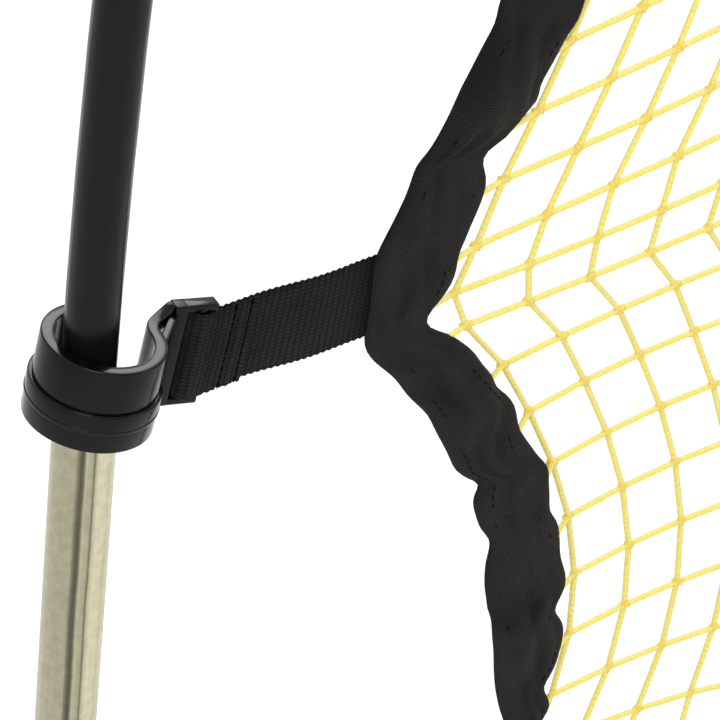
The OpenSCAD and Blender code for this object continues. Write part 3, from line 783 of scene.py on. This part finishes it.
def hem_strip(name, node, outer, inner, stations, seed, strap_spots):
    """A strip folded in half between an outer and an inner edge line, gathered, creased and sewn."""
    width = steps_over + 1
    flat, held, run, runs = [], [], 0.0, []
    # the netting holds the inner edge once a mesh
    every = round(mesh_size / ((inner(stations[1]) - inner(stations[0])).length + 1e-9))
    for i, station in enumerate(stations):
        a, b = outer(station), inner(station)
        if i:
            run += ((a - flat[-width]).length + (b - flat[-1]).length) / 2
        runs.append(run)
        at_strap = any((a - spot).length < half_strap for spot in strap_spots)
        at_end = i < end_rows or i >= len(stations) - end_rows
        for k in range(width):
            flat.append(a.lerp(b, k / steps_over))
            held.append(held_fast if at_end or at_strap and k < steps_over / 2
                else held_knot if k == steps_over and i % every == 0
                else held_edge if k in (0, steps_over) else 0.0)
    points = gathered(flat, held, seed)
    form = bmesh.new()
    uv = form.loops.layers.uv.new("cloth")
    rings, seams = [], [[] for _ in seam_lines]
    for i, run in enumerate(runs):
        row = points[i * width:(i + 1) * width]
        ahead = points[min(i + 1, len(runs) - 1) * width:][:width]
        before = points[max(i - 1, 0) * width:][:width]
        front, behind = [], []
        for k, spot in enumerate(row):
            over = row[min(k + 1, steps_over)] - row[max(k - 1, 0)]
            out = over.cross(ahead[k] - before[k]).normalized()
            out = -out if out.y > 0 else out
            t = k / steps_over
            half = hem_thick / 2 * sqrt(max(0.04, 1 - abs(2 * t - 1) ** 5))
            middle = spot + Vector((0, hem_back - hem_thick / 2, 0))
            lifted = middle + out * (half + crease(run, t, seed))
            front.append((form.verts.new(lifted), run, t * hem_width))
            behind.append((form.verts.new(middle - out * half), run, (2 - t) * hem_width))
            for line, share in zip(seams, seam_lines):
                if abs(t - share) < 0.01:
                    line.append(lifted + out * seam_lift)
        rings.append(front + behind[::-1])
    skin(form, uv, rings)
    bmesh.ops.recalc_face_normals(form, faces=form.faces)
    strip = new_object(name, mesh_from(form, name), hem_cloth)
    layer = strip.modifiers.new("cloth layer", "SOLIDIFY")
    layer.thickness, layer.offset = cloth_layer, -1
    rounder = strip.modifiers.new("rounder", "SUBSURF")
    rounder.levels = rounder.render_levels = 1
    settle(strip)
    for line in seams:
        for i, spot in enumerate(line):
            nearest, out = strip.closest_point_on_mesh(spot)[1:3]
            line[i] = nearest + out * seam_proud
    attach(strip, "frame_and_net")
    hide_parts(node)
    stitches = sewn(name + "_stitches", seams, "frame_and_net", *hem_stitch, hem_thread)


def side_line(shift, side, pulls):
    """An edge line of a side hem, by height."""
    return lambda z: Vector((side * (side_out(z) + shift + pulled(pulls, z)), 0, z))


def across_line(edge, shift, pulls):
    """An edge line of the top or bottom hem, by its share of the width."""
    return lambda u: Vector(((side_out(edge(u) + shift) + hem_width + gap) * (1 - 2 * u), 0,
        edge(u) + shift + pulled(pulls, u)))


hem_thread = moulded("hem_thread", (0.0065, 0.006, 0.0052), 0.8, 3000, shine=0.03)
# the hem's cloth carries strong painted fold shade in its colour
hem_cloth = woven("hem_cloth", (0.0045, 0.0040, 0.0032), (0.026, 0.0238, 0.0198), 1150, 1150, 0.0005,
    roughness=0.62, sheen=0.03, fold_shade=0.45)
# chance places the pulls that are not given above, in these ranges of height
left_ranges = [(low_z + 0.030, 0.185), (0.520, top_z - 0.045)]
right_ranges = [(low_z + 0.03, 0.36), (0.43, top_z - 0.045)]
inner_lines = []
for node, side, seed, ranges, edges in (("hem_left", 1, 0.4, left_ranges, (outer_pulls, inner_pulls)),
        ("hem_right", -1, 2.1, right_ranges, ([(0.318, 0.0060, 0.007)], [strap_pull]))):
    lines = []
    for shift, pulls in zip((0, hem_width), edges):
        more = [pull for low, high in ranges for pull in chance_pulls(f"{node} {shift}", low, high)]
        lines.append(side_line(shift, side, pulls + more))
    inner_lines.append(lines[1])
    hem_strip(node + "_cloth", node, *lines, spaced(low_z, top_z, 180), seed,
        [Vector((side * side_edge, 0, cusp_height)), Vector((side * low_edge, 0, corner_height))])
for node, edge, inward, seed, spots in (("hem_top", top_out, -hem_width, 3.3, []),
        ("hem_bottom", bottom_out, hem_width, 5.2, [Vector((0, 0, rail_edge))])):
    # along these the place of a pull is its share of the width, and none comes near the middle
    edges = [[(place, shift, spread * 1.6) for place, shift, spread in chance_pulls(f"{node} {k}", 0.06, 0.94)
        if abs(place - 0.5) > 0.05] for k in range(2)]
    hem_strip(node + "_cloth", node, across_line(edge, 0, edges[0]), across_line(edge, inward, edges[1]),
        spaced(0, 1, 160), seed, spots)

# Corner pockets: sleeves of the hem's cloth, sewn closed at the top, that slip over the capped tips of
# the rods; a flap of the same cloth joins each to the corner of the hem.
pocket_inner, pocket_wall, pocket_length, cap_wall, round_steps = 0.0097, 0.0013, 0.080, 0.0014, 40
pocket_start, pocket_end = tip_turn - pocket_length / bow_radius, tip_turn + (cap_wall + 2 * gap) / bow_radius
pocket_outside, flap_width = pocket_inner + pocket_wall, 0.035
flap_low, flap_high = top_z - pocket_length + 0.014, top_z - 0.0015


def pocket_ring(turn, radius, seed):
    """A ring of the sleeve round the rod at an angle of its bow, puckered towards its open end."""
    x, z = bow_point(turn)
    away = Vector((-cos(turn), 0, sin(turn)))
    share = unit((turn - pocket_start) / (pocket_end - pocket_start))
    ring = []
    for k in range(round_steps):
        angle = 2 * pi * k / round_steps
        pucker = (0.00035 * sin(7 * angle + 9 * share + seed) * (1 - share)
            + 0.0002 * sin(31 * share + 2 * angle))
        ring.append(Vector((x, 0, z)) + (away * cos(angle) + Vector((0, 1, 0)) * sin(angle))
            * (radius + pucker))
    return ring


for pocket_name, side in (("corner_pocket_left", 1), ("corner_pocket_right", -1)):
    form = bmesh.new()
    uv = form.loops.layers.uv.new("cloth")
    levels = [(turn, pocket_outside) for turn in spaced(pocket_start, pocket_end, 36)]
    inside = [(turn, radius - cloth_layer) for turn, radius in levels]
    inside += [(pocket_end, pocket_outside * share) for share in (0.6, 0.03)]
    levels += [(pocket_end + cloth_layer / bow_radius * lift, pocket_outside * share)
        for lift, share in ((0.9, 0.93), (1.6, 0.7), (2.0, 0.35), (2.1, 0.03))]
    rings = []
    for turn, radius in inside[::-1] + levels:
        rings.append([(form.verts.new((p.x * side, p.y, p.z)), k / round_steps * 2 * pi * pocket_outside,
            turn * bow_radius) for k, p in enumerate(pocket_ring(turn, radius, side))])
    skin(form, uv, rings)
    form.faces.new([vert for vert, u, v in rings[0][::-1]])
    form.faces.new([vert for vert, u, v in rings[-1]])
    flap_start, flap_end = tip[0] + 0.004, top_x + hem_width - 0.010
    flap_path = [(Vector((side * x, strap_front + 0.0008 + 0.0004 * sin(i), (flap_high + flap_low) / 2)),
        Vector((0, 0, 1))) for i, x in enumerate(spaced(flap_start, flap_end, 12))]
    ribbon(form, flap_path, (flap_high - flap_low) / 2, 0.0012, uv)
    pocket = settle(new_object(pocket_name + "_cloth", mesh_from(form, pocket_name + "_cloth"), hem_cloth))
    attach(pocket, "frame_and_net")
    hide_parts(pocket_name)


# Netting: knotless square mesh of soft yellow cord, hung in a shallow bag behind the hem. The cords
# are flared where they cross, because there they are worked into one another.
bag_depth, cord_radius, junction_size, loop_pitch = 0.047, 0.00108, 0.0021, 0.0024
slack_up, slack_down, pinch_up, pinch_down, row_drop, row_rise = 0.96, 1.10, 0.0072, 0.0082, 0.011, 0.012
# how far the net reaches into the hem's fold: at its sides, and at its top and bottom; how far in the
# cords end, how far out the first crossing is, and how deep in the fold they lie
side_sewn_in, sewn_in, under_edge, clear_of_hem = 0.013, 0.006, 0.004, 0.009
inside_hem = hem_back - hem_thick * 0.3
upright_girth, level_girth, junction_girth, row_numbers = 1.12, 0.92, 2.15, range(-20, 30)
cell_steps = (0.0, 0.07, 0.16, 0.33, 0.5, 0.67, 0.84, 0.93)


def net_low(u):
    """Height of the net's bottom at a share of the width."""
    return bottom_out(u) + hem_width - sewn_in


def net_high(u):
    """Height of the net's top at a share of the width."""
    return top_out(u) - hem_width + sewn_in


def net_edge(z):
    """Half the width of the netting at a height, out to its edge under the hem."""
    return -(side_out(z) + hem_width - side_sewn_in + pulled([strap_pull], z))


half_net = net_edge(strap_pull[0])
side_columns, first_column = 12.5, 0.020
column_pitch = (half_net - first_column) / side_columns


def net_point(u, v):
    """A place on the bag, u across and v up, both from 0 to 1."""
    z = net_low(u) + (net_high(u) - net_low(u)) * v
    share = 2 * min(u, 1 - u)
    edge = net_edge(z)
    inward = share * half_net * (1 - (1 - edge / half_net) * share ** 0.9)
    reach = 0.110 if z > cusp_height else 0.035
    pull = 1 + 1.5 * exp(-((z - cusp_height) / reach) ** 2)
    depth = bag_depth * max(0.0, 4 * v * (1 - v)) ** 0.7 * max(0.0, 1 - (1 - share) ** 2) ** pull
    # inside the hem's fold up to its edge, then clear of it
    clear = unit((min(z - net_low(u), net_high(u) - z) - sewn_in) / 0.010)
    return Vector(((1 if u > 0.5 else -1) * (edge - inward),
        inside_hem + (strap_front + 0.001 - inside_hem + depth) * clear, z))


class Column:
    """One line up the bag, with its length measured from the row of the side straps."""

    def __init__(self, u):
        self.points = [net_point(u, v) for v in spaced(0, 1, 420)]
        self.run = [0.0]
        for a, b in zip(self.points, self.points[1:]):
            self.run.append(self.run[-1] + (b - a).length)
        inward = 2 * min(u, 1 - u) * half_net
        # the row of the straps starts below them at the net's edge and soon levels out
        row_height = cusp_height - row_drop + row_rise * (1 - exp(-inward / 0.08))
        above = next(i for i, p in enumerate(self.points) if p.z >= row_height)
        share = (row_height - self.points[above - 1].z) / (self.points[above].z - self.points[above - 1].z)
        start = self.run[above - 1] + (self.run[above] - self.run[above - 1]) * share
        self.run = [value - start for value in self.run]
        self.pinch = exp(-inward / 0.16)

    def row(self, r):
        """Length up to a row; the rows beside the straps are pinched together."""
        if r > 0:
            return slack_up * mesh_size * r - pinch_up * self.pinch * min(r, 1)
        return slack_down * mesh_size * r - pinch_down * self.pinch * max(r, -1)

    def holds(self, r):
        """Whether a row crosses here in the open, clear of the hem's fold."""
        return self.run[0] + clear_of_hem < self.row(r) < self.run[-1] - clear_of_hem

    def at(self, length):
        """The place at a length along the line."""
        low, high = 0, len(self.run) - 1
        while high - low > 1:
            middle = (low + high) // 2
            low, high = (middle, high) if self.run[middle] <= length else (low, middle)
        share = (length - self.run[low]) / (self.run[low + 1] - self.run[low])
        return self.points[low].lerp(self.points[low + 1], unit(share))


def flare(step):
    """How much thicker a cord is at a share of the way between two crossings."""
    near = min(step, 1 - step)
    return 1 + 1.2 * exp(-(near / 0.11) ** 1.2)


def sewn_end(knot, before, line):
    """Where a cord that runs through knot passes the hem's edge, and where it ends inside the fold."""
    made, step = [], (knot - before) / abs(knot.x - before.x)
    for inside in (0.001, sewn_in):
        end = knot
        for turn in range(3):
            onward = abs(line(end.z).x) - abs(knot.x) + inside
            end = knot + step * onward
        if onward > 0.0005:
            made.append(Vector((end.x, inside_hem, end.z)))
    return made


def run_out(column, other, r):
    """Where a row that is on the net at one column and off it at the next passes under the hem."""
    high = other.row(r) > 0
    ends = [c.run[-1] - under_edge if high else c.run[0] + under_edge for c in (column, other)]
    left, over = ends[0] - column.row(r), other.row(r) - ends[1]
    if left * over <= 0:
        return [other.at(other.row(r))]
    return [column.at(ends[0]).lerp(other.at(ends[1]), left / (left + over))]


def row_end(r, i, way, knots, line):
    """Where a row ends past its outermost column i: on the way to the next one, or in the side hem."""
    if 0 <= i + way < len(columns):
        return run_out(columns[i], columns[i + way], r)
    return sewn_end(*knots, line) if len(knots) > 1 else []


def into_hem(knot, ends, girth):
    """A cord from its last crossing to its ends in the hem, slim where the cloth presses on it."""
    if not ends:
        return []
    slim_over = 0.003
    taper = min(0.5, slim_over / (ends[0] - knot).length)
    return ([(knot.lerp(ends[0], taper), 1.15 * girth), (ends[0], 0.8 * girth)]
        + [(end, 0.4) for end in ends[1:]])


verts, edges, girths, junctions = [], [], [], []


def lay_cord(knots, before, after, girth):
    """Lays one cord through its crossings and out to its ends before and after them."""
    points = into_hem(knots[0], before, girth)[::-1]
    points += [(a.lerp(b, part), girth * flare(part)) for a, b in zip(knots, knots[1:]) for part in cell_steps]
    points += [(knots[-1], girth * flare(0))] + into_hem(knots[-1], after, girth)
    start = len(verts)
    verts.extend(place for place, thick in points)
    girths.extend(thick for place, thick in points)
    edges.extend((start + i, start + i + 1) for i in range(len(points) - 1))


column_shares = [(first_column + column_pitch * k) / (2 * half_net) for k in range(int(side_columns + 0.5))]
column_shares += [1 - share for share in reversed(column_shares)]
columns = [Column(share) for share in column_shares]
for column in columns:
    knots = [column.at(column.row(r)) for r in row_numbers if column.holds(r)]
    low, high = ([column.at(column.run[k] + way * under_edge), column.points[k]]
        for k, way in ((0, 1), (-1, -1)))
    lay_cord(knots, low, high, upright_girth)
    junctions += knots
for r in row_numbers:
    # a row may run out under the hem and come back: each stretch of it is a cord of its own
    stretches = []
    for i, column in enumerate(columns):
        if column.holds(r):
            if stretches and stretches[-1][-1] == i - 1:
                stretches[-1].append(i)
            else:
                stretches.append([i])
    for stretch in stretches:
        knots = [columns[i].at(columns[i].row(r)) for i in stretch]
        lay_cord(knots, row_end(r, stretch[0], -1, knots[:2], inner_lines[0]),
            row_end(r, stretch[-1], 1, knots[::-1][:2], inner_lines[1]), level_girth)

# geometry nodes: a cord of given radius on each line, a worked junction on each point by itself
tree, come, go = node_group("net_strands", "GeometryNodeTree", {"Geometry": "Geometry",
    "Cord Radius": 0.001, "Junction Size": 0.0018, "Cord Material": "Material"}, {"Geometry": "Geometry"})
net_strands = tree
neighbours = outputs(tree, "GeometryNodeInputMeshVertexNeighbors")["Vertex Count"]
alone = add(tree, "FunctionNodeCompare", neighbours, data_type="INT", operation="EQUAL")
part = outputs(tree, "GeometryNodeSeparateGeometry", come["Geometry"], alone, domain="POINT")
line = add(tree, "GeometryNodeMeshToCurve", part["Inverted"])
line = add(tree, "GeometryNodeStoreNamedAttribute", line, data_type="FLOAT", domain="POINT", Name="run",
    Value=outputs(tree, "GeometryNodeSplineParameter")["Length"])
line = add(tree, "GeometryNodeSetCurveRadius", line,
    Radius=add(tree, "GeometryNodeInputNamedAttribute", "girth", data_type="FLOAT"))
ring = add(tree, "GeometryNodeCurvePrimitiveCircle", Resolution=6, Radius=come["Cord Radius"])
cords = add(tree, "GeometryNodeCurveToMesh", line, ring, Fill_Caps=True)
ball = add(tree, "GeometryNodeMeshIcoSphere", Subdivisions=1, Radius=come["Junction Size"])
turn = add(tree, "FunctionNodeRandomValue", data_type="FLOAT_VECTOR", Min=(-0.3, -0.6, -0.3),
    Max=(0.3, 0.6, 0.3), Seed=7)
knots = add(tree, "GeometryNodeInstanceOnPoints", part["Selection"], Instance=ball, Rotation=turn,
    Scale=(1.25, 0.62, 1.0))
join = net_strands.nodes.new("GeometryNodeJoinGeometry")
for geometry in (knots, cords):
    wire(tree, join, geometry)
painted(tree, go, join.outputs[0], come["Cord Material"])

# the cord is knitted in small loops, and its colour is deeper where it is thick at a crossing
net_cord, tree, shader = node_material("net_cord", (0.88, 0.62, 0.13), 0.6, Sheen_Weight=0.3,
    Subsurface_Weight=0.12, Subsurface_Radius=(0.003, 0.002, 0.0006), Subsurface_Scale=1.0)
place = own_place(tree)
run, girth = (outputs(tree, "ShaderNodeAttribute", attribute_name=name)["Fac"] for name in ("run", "girth"))
loops = calc(tree, "SINE", calc(tree, "MULTIPLY", run, 2 * pi / loop_pitch))
height = calc(tree, "MULTIPLY_ADD", loops, 0.35, noise(tree, place, 1400.0))
plain = mixed(tree, noise(tree, place, 60.0), (0.97, 0.80, 0.15, 1), (0.97, 0.86, 0.25, 1))
wire(tree, shader, Base_Color=mixed(tree, scaled(tree, girth, 0, 1, 1.3, 2.6), plain, (1.0, 0.69, 0.06, 1)),
    Normal=bumped(tree, height, 0.7, 0.0005))

girths += [junction_girth] * len(junctions)
net = grown("netting_cords", verts + junctions, edges, net_strands, {"Cord Radius": cord_radius,
    "Junction Size": junction_size, "Cord Material": net_cord}, girths)
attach(net, "frame_and_net")
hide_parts("netting")
